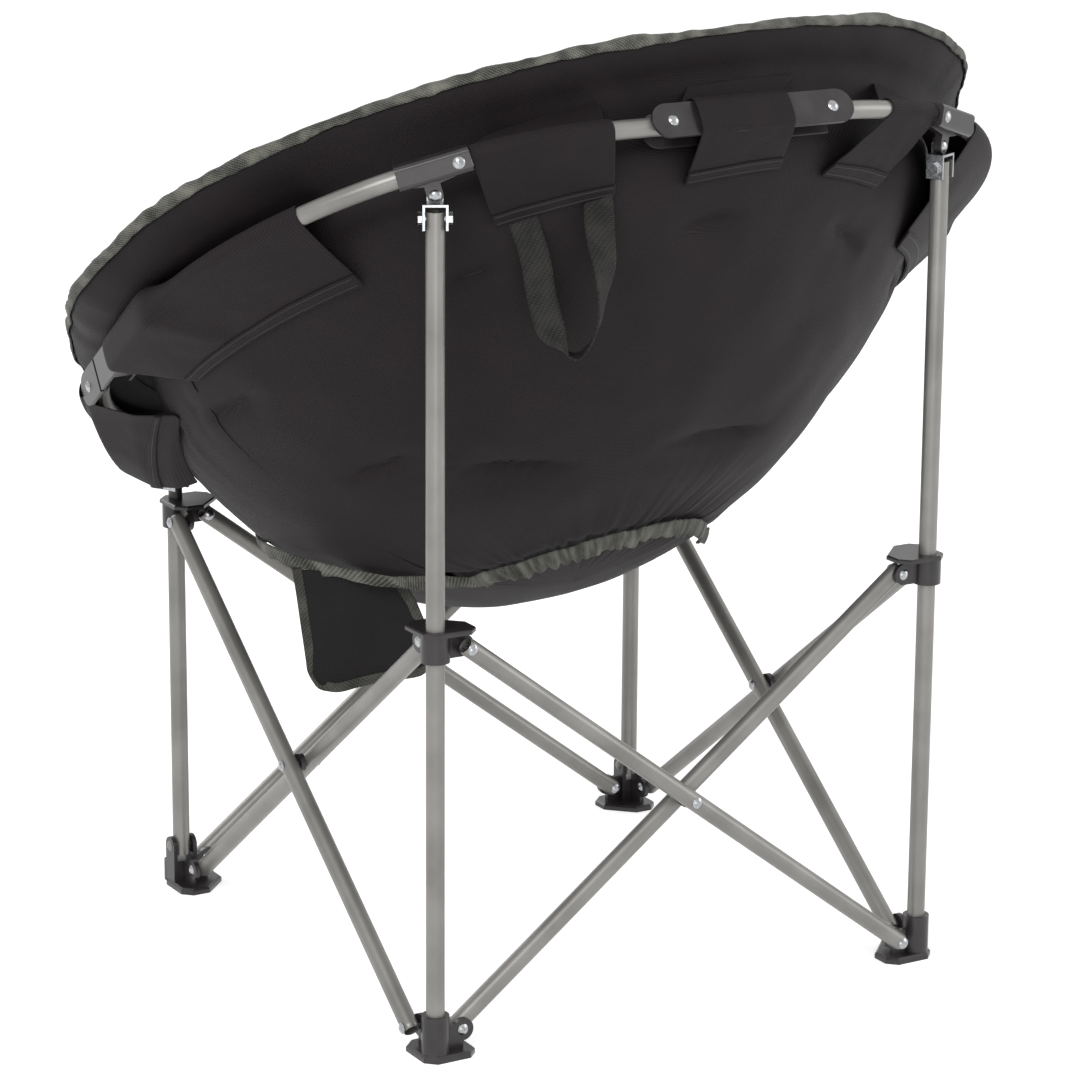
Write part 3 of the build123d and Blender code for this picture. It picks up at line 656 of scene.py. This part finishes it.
class CHAIR_OT_padded_seat(bpy.types.Operator):
    """The padded saucer: an outer cloth, a quilted inner cloth and the filling between"""

    bl_idname = "chair.padded_seat"
    bl_label = "Padded seat"

    def execute(self, context):
        padding = context.scene.chair_sizes.padding / MM
        tacks, tufts = tack_points(), tuft_centres(padding)
        outer = 0.52  # share of the rows that go to the outside
        pole = 0.995  # share of the wall past which it is left plain, so that it closes

        def place(s, t):
            angle = 360 * s
            if t <= outer:
                share = 1 - t / outer
                relief = outer_relief(angle, share, tacks) if share < pole else 0
                return in_row(on_wall(angle, share, relief))
            share = (t - outer) / (1 - outer)
            return in_row(inner_point(angle, share, tufts, padding))

        seat = cloth_grid("padded_seat", 288, 190, place)
        merge_and_face_out(seat)
        uv = seat.data.uv_layers.active.data
        for loop in seat.data.loops:
            u, v, w = in_ring(seat.data.vertices[loop.vertex_index].co)
            reach = math.hypot(u, v + 60) + 1e-6
            run = math.hypot(reach, 0.8 * (w + 250))
            uv[loop.index].uv = (u / reach * run * MM, (v + 60) / reach * run * MM)
        dress(seat, material("oxford"))
        seat.data.materials.append(material("quilted"))
        for face in seat.data.polygons:
            at, way = in_ring(face.center), in_ring(face.center + face.normal * MM)
            inwards = math.hypot(way[0], way[1] + 60) < math.hypot(at[0], at[1] + 60)
            face.material_index = int(inwards or (at[2] < -190 and way[2] > at[2]))
        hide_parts("seat_pad")
        fold_with_seat(seat)
        for number, (start, along) in enumerate(zip(*tacks)):
            def way(share, _):
                point = start + along * share
                angle = math.degrees(math.atan2(
                    (point[1] - wall_row(share_at(point[2]))[1]) / wall_row(share_at(point[2]))[3],
                    point[0] / wall_row(share_at(point[2]))[2]))
                down = share_at(point[2])
                return in_row(on_wall(angle, down, outer_relief(angle, down, tacks) + 0.3))

            tack = hem_line(f"tack_{number}", way, 0, 0, 1, 10)
            dress(tack, material("thread"))
            fold_with_seat(tack)
        return {"FINISHED"}


# --------------------------------------------------------------------------- bindings
def rim_section(angle, width, tacks, tufts, padding):
    """The line of the tape across the rim: up the outer cloth, over the edge and down
    the inner cloth, as points (u, v, w)."""
    shares = [width * k / 3 / WALL_RUN for k in (3, 2, 1, 0)]
    outer = [on_wall(angle, share, outer_relief(angle, share, tacks) + 1.4) for share in shares]
    inner = [inner_point(angle, share, tufts, padding + 1.4) for share in reversed(shares)]
    top = (outer[-1] + inner[0]) / 2 + np.array((0, 0, 2.4))
    return outer + [top] + inner


class CHAIR_OT_rim_binding(bpy.types.Operator):
    """The grey tape sewn over the seat's edge, a little uneven along its length"""

    bl_idname = "chair.rim_binding"
    bl_label = "Rim binding"

    def execute(self, context):
        width = context.scene.chair_sizes.tape_width / MM
        padding = context.scene.chair_sizes.padding / MM
        tacks, tufts = tack_points(), tuft_centres(padding)
        sections = {}

        def place(s, t):
            angle = 360 * s
            if s not in sections:
                ease = math.cos(math.pi * 2 * s) * 0.5 + 0.5  # the ends meet in one joint
                wave = ruffles(RIM_TAPE_RUFFLES, math.radians(angle) * RIM_RADIUS)
                reach = width + wave * (1 - ease ** 30)
                sections[s] = rim_section(angle, reach, tacks, tufts, padding)
            return in_row(wrap(sections[s], t))

        rim = cloth_grid("rim_binding", 720, 14, place, (2.6, 0.034))
        merge_and_face_out(rim)
        thicken(rim, 1.4, 0)
        dress(rim, material("binding"))
        fold_with_seat(rim)
        return {"FINISHED"}


SEAM_FROM, SEAM_SWEEP = -78, 336  # degrees
SEAM_TAPE_WIDTH = 12.5


class CHAIR_OT_seam_binding(bpy.types.Operator):
    """The bound, gathered seam round the bottom of the saucer"""

    bl_idname = "chair.seam_binding"
    bl_label = "Seam binding"

    def execute(self, context):
        def place(s, t):
            angle = SEAM_FROM + SEAM_SWEEP * s
            length = math.radians(angle) * SEAM_RADIUS
            share = seam_share(angle)
            wave = ruffles(SEAM_TAPE_RUFFLES, length)
            across = (t - 0.4) * SEAM_TAPE_WIDTH
            off = 2.6 + 1.2 * math.sin(math.pi * t) + (8.0 + ruffles(SEAM_CURL, length)) * t
            return in_row(on_wall(angle, min(1, share + (across + wave) / WALL_RUN), off))

        tape = cloth_grid("seam_binding", 620, 8, place, (1.5, SEAM_TAPE_WIDTH * MM))
        thicken(tape, 1.5, 0)
        dress(tape, material("binding"))
        fold_with_seat(tape)
        return {"FINISHED"}


# ----------------------------------------------------------------- sleeves and pockets
# Each sleeve: what it goes over, the places of its two ends there, how its upper edge
# sits on the bowl (angle, height at each end) and how its lower hem does.
SLEEVES = {
    "strap_sleeve": ("rl", (64.5, 87.5), ((60.5, 27), (75, 30)), ((58.1, -38), (74.8, -36))),
    "left_sleeve": ("rl", (36.5, -21.0), ((38, 20), (-10, 18)), ((38.4, -46), (2.5, -47))),
    "centre_sleeve": ("back", (33.0, -59.0), ((87, 30), (104, 31)), ((84.9, -37), (100.2, -31))),
    "right_back_sleeve": ("rr", (76.5, 64.5), ((120, 30), (131, 28)), ((108.5, -35), (122, -38))),
    "right_sleeve": ("rr", (50.5, -21.0), ((134, 22), (189, 18)), ((138.2, -66), (177.5, -50))),
}


def wrap(points, t):
    """A point at a share of the way along a chain of points, by length."""
    points = np.array(points)
    run = run_along(points)
    return np.array([np.interp(t * run[-1], run, points[:, k]) for k in range(3)])


def mix(pair, s):
    """The value, or point, at a share of the way from one of a pair to the other."""
    first, last = np.array(pair[0], float), np.array(pair[1], float)
    return first + (last - first) * s


SLEEVE_SLACK = 1.5


def over_ring(section, top, bottom):
    """The line of cloth from the bowl over a section of the ring and back to the bowl."""
    chain = [on_wall(top[0], share_at(top[1]), 0.4)]
    chain += [section(around) for around in range(115, -40, -12)]
    end = on_wall(bottom[0], share_at(bottom[1]), 1.6)
    last = chain[-1]
    for share in (0.25, 0.5, 0.75):
        middle = last + (end - last) * share
        chain.append(middle + np.array((0, 0, -SLEEVE_SLACK)) * math.sin(math.pi * share))
    return chain + [end]


def hem_line(name, place, t, start=0.02, stop=0.98, steps=70):
    """A row of stitches: a thread laid in the cloth along one of its lines."""
    way = [place(start + (stop - start) * k / steps, t) for k in range(steps + 1)]
    curve = bpy.data.curves.new(name, "CURVE")
    curve.dimensions = "3D"
    curve.bevel_depth = 0.55 * MM
    curve.bevel_resolution = 1
    spline = curve.splines.new("POLY")
    spline.points.add(steps)
    for point, at in zip(spline.points, way):
        point.co = (*at, 1)
    obj = bpy.data.objects.new(name, curve)
    bpy.context.scene.collection.objects.link(obj)
    only(obj)
    bpy.ops.object.convert(target="MESH")
    return bpy.context.active_object


# Thickness of a sewn-on sheet and of its hem, how far hem and stitches stand on it, and
# the share of the sheet that a hem takes beyond its stitches.
SHEET_THICK, HEM_THICK, HEM_LIFT, STITCH_LIFT, HEM_EDGE = 1.3, 1.1, 1.25, 1.75, 0.02
FREE_FROM = 0.45  # share across a sheet past which it hangs free and may wrinkle


def cloth_sheet(name, steps, place, wrinkle, hems=()):
    """A thin sewn-on sheet with rows of stitches along its hems. Returns the sheet and
    its cut, in metres: the mean length of its two long edges, and its area over that."""
    def crumpled(s, t):
        point = place(s, t)
        free = math.sin(math.pi * min(1, max(0, (t - FREE_FROM) / (1 - FREE_FROM))))
        at = Vector(point)
        swell = free * wrinkle * (noise.noise(at / 38) + 0.45 * noise.noise(at / 15))
        return in_row(point + np.array((0, 0, swell)))

    cloth = cloth_grid(name, *steps, crumpled, (0.15, 0.12))
    edges = 0.0
    for t in (0.0, 1.0):
        way = [crumpled(k / 40, t) for k in range(41)]
        edges += sum((b - a).length for a, b in zip(way, way[1:])) / 2
    cut = (edges, sum(face.area for face in cloth.data.polygons) / edges)
    thicken(cloth, SHEET_THICK, 1)
    dress(cloth, material("oxford"))
    if hems:
        def raised(s, t, lift=HEM_LIFT):
            at, ahead, down = crumpled(s, t), crumpled(s + 0.01, t), crumpled(s, t - 0.01)
            normal = (ahead - at).cross(down - at).normalized()
            if normal @ (at - in_row((0, -60, 60))) < 0:
                normal = -normal
            return at + normal * lift * MM

        first, last = hems[0] - HEM_EDGE, min(0.999, hems[-1] + HEM_EDGE)
        band = cloth_grid(f"{name}_hem", 60, 4, lambda s, t: raised(s, first + (last - first) * t),
                          (0.15, 0.012))
        thicken(band, HEM_THICK, 0)
        dress(band, material("oxford"))
        fold_with_seat(band)
        for number, t in enumerate(hems):
            thread = hem_line(f"{name}_stitch_{number}", lambda s, t: raised(s, t, STITCH_LIFT), t)
            dress(thread, material("thread"))
            fold_with_seat(thread)
    fold_with_seat(cloth)
    return cloth, cut


def sleeve(name, over, ends, top, bottom):
    """One sleeve, from its row of SLEEVES."""
    chains = {}

    def place(s, t):
        if s not in chains:
            at = float(mix(ends, s))

            def section(around):
                if over == "back":
                    return on_back_link(at, around)
                return on_tube(over, at, around)

            chains[s] = over_ring(section, mix(top, s), mix(bottom, s))
        return wrap(chains[s], t)

    return cloth_sheet(name, (40, 40), place, 1.6, (0.92, 0.978))


class CHAIR_OT_ring_sleeves(bpy.types.Operator):
    """The cloth sleeves that hold the seat on the ring's tubes and links"""

    bl_idname = "chair.ring_sleeves"
    bl_label = "Ring sleeves"

    def execute(self, context):
        made = [sleeve(name, *facts) for name, facts in SLEEVES.items()]
        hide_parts("ring_sleeves")
        return {"FINISHED"}


# A side pocket from its lip to its bottom hem: the angles of the ring tube that it goes
# over and hangs from, then where its top and its seam meet the bowl, and how high.
POCKET_OVER, POCKET_HANG = (21, 63), (21, 42)
POCKET_TOP, POCKET_SEAM, POCKET_HEIGHT = (22, 60), (11, 32), (-50, -72)
POCKET_TOP_HEIGHT = 26
POCKET_OFF = (2.2, 17)  # how far its front stands off the bowl
POCKET_HOLLOW, POCKET_DROP, LIP_DROP, POCKET_SAG = 24, 36, 8, 6.0
POCKET_GROW, LIP_GROW, HEM_GROW = 3.3, 6, 8  # how far it clears the tube


def pocket_line(corner, s):
    """The line of a side pocket at a share from its lip to its bottom hem: from the bowl
    over the ring tube, down past it as a bag, and back to the bowl."""
    side = SIGNS[corner][0]
    fall = s * s * (3 - 2 * s)
    over, hang = float(mix(POCKET_OVER, s)), float(mix(POCKET_HANG, s))
    grow = POCKET_GROW + LIP_GROW * (1 - s) ** 3 + HEM_GROW * s
    top, low = -float(mix(POCKET_TOP, s)), -float(mix(POCKET_SEAM, s))
    if side < 0:
        top, low = 180 - top, 180 - low
    height = float(mix(POCKET_HEIGHT, s))
    chain = [on_wall(top, share_at(POCKET_TOP_HEIGHT), 0.4)]
    chain += [on_tube(corner, over, around, grow) for around in range(115, -10, -12)]
    bag = on_tube(corner, hang, 0, POCKET_GROW)
    chain.append((chain[-1] + bag) / 2 + np.array((0, 0, -POCKET_HOLLOW * fall)))
    chain.append(bag + np.array((0, 0, -LIP_DROP - POCKET_DROP * fall)))
    fold = on_wall(low, share_at(height), float(mix(POCKET_OFF, s)))
    chain.append((chain[-1] + fold) / 2 + np.array((0, 0, -POCKET_SAG)))
    return chain + [fold, on_wall(low, share_at(height - 4), 0.6)]


class CHAIR_OT_side_pockets(bpy.types.Operator):
    """The pockets at the front corners that the ring slips into"""

    bl_idname = "chair.side_pockets"
    bl_label = "Side pockets"

    def execute(self, context):
        for corner, name in (("fl", "left_pocket"), ("fr", "right_pocket")):
            chains = {}

            def place(s, t):
                if s not in chains:
                    chains[s] = pocket_line(corner, s)
                return wrap(chains[s], t)

            cloth, cut = cloth_sheet(name, (36, 56), place, 1.2, (0.86,))
            if corner == "fl":
                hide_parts("side_pockets")
        return {"FINISHED"}


# ---------------------------------------------------------------- strap and flap pocket
def ribbon(name, knots, width, steps, thickness):
    """A flat band of webbing or tape along knots (point, direction across it), in
    millimetres of the chair's frame. Returns the band and its length in metres."""
    points = np.array([knot[0] for knot in knots], float)
    across = np.array([knot[1] for knot in knots], float)
    run = run_along(points)
    rows, sides = hermite(points, run, steps), hermite(across, run, steps)
    sides /= np.linalg.norm(sides, axis=1)[:, None]
    length = float(np.linalg.norm(np.diff(rows, axis=0), axis=1).sum()) * MM

    def place(s, t):
        k = int(round(s * steps))
        return Vector((rows[k] + sides[k] * (t - 0.5) * width) * MM)

    band = cloth_grid(name, steps, 8, place, (length, width * MM))
    thicken(band, thickness, 0)
    return band, length


# The strap hangs in an upright plane: RIGHT runs along it as seen from behind the chair,
# OUT stands square out of it.
RIGHT, OUT, UP = np.array(((-0.887, 0.461, 0), (0.461, 0.887, 0), (0, 0, 1)))
STRAP = (
    ((169, 284, 750), (1, 0, 0.26)), ((166, 288, 720), (1, 0, 0.26)),
    ((160, 298, 687), (1, 0, 0.26)), ((156.5, 304, 654), (1, 0.1, 0.26)),
    ((151, 309, 629), (0.9, 0.3, 0.25)), ((146, 312, 616), (0.6, 0.8, 0.1)),
    ((140, 314.8, 609.4), (0.1, 1, 0)), ((131.8, 319, 606), (0, 1, 0)),
    ((123, 323.5, 615), (-0.1, 1, 0)), ((116.7, 326.8, 630), (-0.15, 1, 0)),
    ((113.2, 328, 654), (-0.3, 0.95, 0)), ((111.3, 328, 679), (-0.7, 0.7, 0)),
    ((112, 322, 704), (-0.95, 0.3, 0)), ((108, 311, 730), (-1, 0, 0)),
    ((106, 303, 752), (-1, 0, 0)),
)


class CHAIR_OT_carry_strap(bpy.types.Operator):
    """The webbing loop that hangs from under the back sleeve, folded over at the bottom"""

    bl_idname = "chair.carry_strap"
    bl_label = "Carry strap"

    def execute(self, context):
        width = context.scene.chair_sizes.webbing_width / MM
        knots = [(point, RIGHT * r + OUT * o + UP * z) for point, (r, o, z) in STRAP]
        strap, length = ribbon("webbing_strap", knots, width, 240, 1.6)
        dress(strap, material("webbing"))
        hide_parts("carry_strap")
        fold_with_seat(strap)
        return {"FINISHED"}


# Outline of the flap pocket in its own upright plane: (along, height) down its left
# edge, along its bottom and up its right edge.
FLAP_AT, FLAP_ALONG = np.array((166.0, 27.35, 0.0)), np.array((-0.862, 0.507, 0.0))
FLAP_LEFT = ((-73, 358), (-70, 338), (-63.8, 291), (-60, 262), (-54, 250))
FLAP_RIGHT = ((22, 352), (36, 329), (45, 306), (50, 280), (47, 262))
FLAP_BOTTOM = ((-54, 250), (-48, 246), (-32, 245), (-15, 250), (10, 256), (36, 259), (47, 262))


FLAP_OUT = np.array((0.507, 0.862, 0.0))
FLAP_MIDDLE = np.array((-5.0, 300.0))
FLAP_TAPE = 8.6


def flap_point(along, height, bulge=0.0):
    """A point of the flap's own plane, or standing off it, in millimetres."""
    return FLAP_AT + FLAP_ALONG * along + FLAP_OUT * bulge + np.array((0, 0, height))


class CHAIR_OT_flap_pocket(bpy.types.Operator):
    """The bound flap pocket that hangs under the bowl on the sitter's left"""

    bl_idname = "chair.flap_pocket"
    bl_label = "Flap pocket"

    def execute(self, context):
        def edge(rows, t):
            rows = np.array(rows, float)
            run = run_along(rows)
            return np.array([np.interp(t * run[-1], run, rows[:, k]) for k in (0, 1)])

        def bulge(s, t):
            return 5.5 * math.sin(math.pi * s) * t + 2.4 * noise.noise(Vector((s * 3, t * 3, 5)))

        def place(s, t):
            left, right, low = edge(FLAP_LEFT, t), edge(FLAP_RIGHT, t), edge(FLAP_BOTTOM, s)
            at = left + (right - left) * s
            straight = np.array(FLAP_LEFT[-1]) + (
                np.array(FLAP_RIGHT[-1]) - np.array(FLAP_LEFT[-1])) * s
            at = at + (low - straight) * t**6
            return Vector(flap_point(*at, bulge(s, t)) * MM)

        panel = cloth_grid("flap_pocket", 48, 52, place, (0.11, 0.12))
        thicken(panel, 1.6, 1)
        dress(panel, material("dark_oxford"))
        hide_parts("hanging_flap")
        fold_with_seat(panel)

        border = [(edge(FLAP_LEFT, t), bulge(0, t)) for t in np.linspace(0, 0.94, 14)]
        border += [(edge(FLAP_BOTTOM, s), bulge(s, 1)) for s in np.linspace(0.06, 0.95, 14)]
        border += [(edge(FLAP_RIGHT, t), bulge(1, t)) for t in np.linspace(0.95, 0, 14)]
        knots = []
        for k, (at, out) in enumerate(border):
            before, after = border[max(0, k - 1)][0], border[min(len(border) - 1, k + 1)][0]
            way = (after - before) / np.linalg.norm(after - before)
            inward = np.array((-way[1], way[0]))
            inward *= math.copysign(1, inward @ (FLAP_MIDDLE - at))
            at = at + inward * 3.4
            knots.append((flap_point(*at, out), FLAP_ALONG * inward[0] + UP * inward[1]))
        tape, _ = ribbon("flap_binding", knots, FLAP_TAPE, 260, 3.4)
        dress(tape, material("dark_binding"))
        fold_with_seat(tape)
        return {"FINISHED"}


SOFTBOXES = (  # name, place and size in metres, power in watts
    ("key_softbox", (3.2, 2.6, 3.2), 2.2, 95),
    ("fill_softbox", (-3.4, 2.2, 1.8), 2.6, 45),
    ("front_softbox", (0.4, -3.6, 2.6), 2.4, 50),
    ("low_strip", (1.6, 3.6, 0.35), 1.4, 16),
)
CAMERA_AT = (1.8273, 3.1033 + LEGS_Y * MM, 1.3440)
CAMERA_TURN = (149.548, 15.186, 0.384)  # azimuth, elevation and roll in degrees
FOCAL_PIXELS, PHOTO_PIXELS, SENSOR = 4094.9, 1080, 36


def seen_plainly(tree):
    """1 where a surface is seen by the camera, in a reflection or through glass."""
    path = add_node(tree, "ShaderNodeLightPath")
    seen = add_node(tree, "ShaderNodeMath",
                    [(0, path, "Is Camera Ray"), (1, path, "Is Glossy Ray")], operation="MAXIMUM")
    return add_node(tree, "ShaderNodeMath", [(0, seen, 0), (1, path, "Is Transmission Ray")],
                    operation="MAXIMUM")


class CHAIR_OT_stage(bpy.types.Operator):
    """A plain pale floor under a white world, soft studio light and the camera"""

    bl_idname = "chair.stage"
    bl_label = "Stage"

    def execute(self, context):
        deselect()
        bpy.ops.mesh.primitive_plane_add(size=60)
        floor = context.active_object
        floor.name = "studio_floor"
        pale, tree, shader = new_material("pale_studio_floor")
        tree.nodes.remove(shader)
        seen = seen_plainly(tree)
        matt = add_node(tree, "ShaderNodeBsdfDiffuse", Color=linear("#e2e2e2"))
        white = add_node(tree, "ShaderNodeEmission", Color=linear("#ffffff"), Strength=0.62)
        dull = add_node(tree, "ShaderNodeEmission", Strength=0.0)
        lift = add_node(tree, "ShaderNodeMixShader", [(0, seen, 0), (1, dull, 0), (2, white, 0)])
        both = add_node(tree, "ShaderNodeAddShader", [(0, matt, 0), (1, lift, 0)])
        output = next(n for n in tree.nodes if n.type == "OUTPUT_MATERIAL")
        tree.links.new(both.outputs[0], output.inputs[0])
        floor.data.materials.append(pale)

        world = bpy.data.worlds.new("soft_studio")
        context.scene.world = world
        world.use_nodes = True
        tree = world.node_tree
        tree.nodes.clear()
        seen = seen_plainly(tree)
        soft = add_node(tree, "ShaderNodeBackground", Color=linear("#f4f4f6"), Strength=0.62)
        white = add_node(tree, "ShaderNodeBackground", Color=linear("#ffffff"), Strength=1.0)
        blend = add_node(tree, "ShaderNodeMixShader", [(0, seen, 0), (1, soft, 0), (2, white, 0)])
        output = add_node(tree, "ShaderNodeOutputWorld", [("Surface", blend, 0)])

        target = Vector((0, 0, 0.45))
        for name, place, size, power in SOFTBOXES:
            deselect()
            bpy.ops.object.light_add(type="AREA", location=place)
            lamp = context.active_object
            lamp.name = name
            lamp.data.shape = "DISK"
            lamp.data.size = size
            lamp.data.energy = power
            lamp.rotation_mode = "QUATERNION"
            lamp.rotation_quaternion = (target - Vector(place)).to_track_quat("-Z", "Y")

        deselect()
        bpy.ops.object.camera_add(location=CAMERA_AT)
        camera = context.active_object
        camera.name = "photo_camera"
        azimuth, elevation, roll = (math.radians(turn) for turn in CAMERA_TURN)
        back = Vector((math.sin(azimuth) * math.cos(elevation),
                       -math.cos(azimuth) * math.cos(elevation), math.sin(elevation)))
        right = Vector((math.cos(azimuth), math.sin(azimuth), 0))
        up = back.cross(right)
        right, up = (right * math.cos(roll) + up * math.sin(roll),
                     up * math.cos(roll) - right * math.sin(roll))
        camera.rotation_mode = "QUATERNION"
        camera.rotation_quaternion = Matrix((right, up, back)).transposed().to_quaternion()
        camera.data.sensor_width = SENSOR
        camera.data.lens = FOCAL_PIXELS / PHOTO_PIXELS * SENSOR
        context.scene.camera = camera
        context.scene.view_settings.view_transform = "Standard"
        return {"FINISHED"}


class CHAIR_PT_panel(bpy.types.Panel):
    """Lists the chair's pieces and the settings that they read"""

    bl_label = "Saucer chair"
    bl_idname = "CHAIR_PT_panel"
    bl_space_type = "VIEW_3D"
    bl_region_type = "UI"
    bl_category = "Saucer chair"

    def draw(self, context):
        for group in (context.scene.chair_sizes, context.scene.chair_finish):
            for name in group.bl_rna.properties.keys():
                if name not in ("rna_type", "name"):
                    self.layout.prop(group, name)
        for operator in OPERATORS:
            self.layout.operator(operator.bl_idname)


OPERATORS = (
    CHAIR_OT_frame_finish, CHAIR_OT_padded_seat, CHAIR_OT_rim_binding, CHAIR_OT_seam_binding,
    CHAIR_OT_ring_sleeves, CHAIR_OT_side_pockets, CHAIR_OT_carry_strap, CHAIR_OT_flap_pocket,
    CHAIR_OT_stage,
)
CLASSES = (ChairFinish, ChairSizes, *OPERATORS, CHAIR_PT_panel)


def register():
    for made in CLASSES:
        bpy.utils.register_class(made)
    bpy.types.Scene.chair_finish = bpy.props.PointerProperty(type=ChairFinish)
    bpy.types.Scene.chair_sizes = bpy.props.PointerProperty(type=ChairSizes)


def unregister():
    del bpy.types.Scene.chair_sizes, bpy.types.Scene.chair_finish
    for made in reversed(CLASSES):
        bpy.utils.unregister_class(made)


def main():
    """Makes every piece in order."""
    register()
    for operator in OPERATORS:
        family, name = operator.bl_idname.split(".")
        getattr(getattr(bpy.ops, family), name)()


if __name__ == "__main__":
    main()
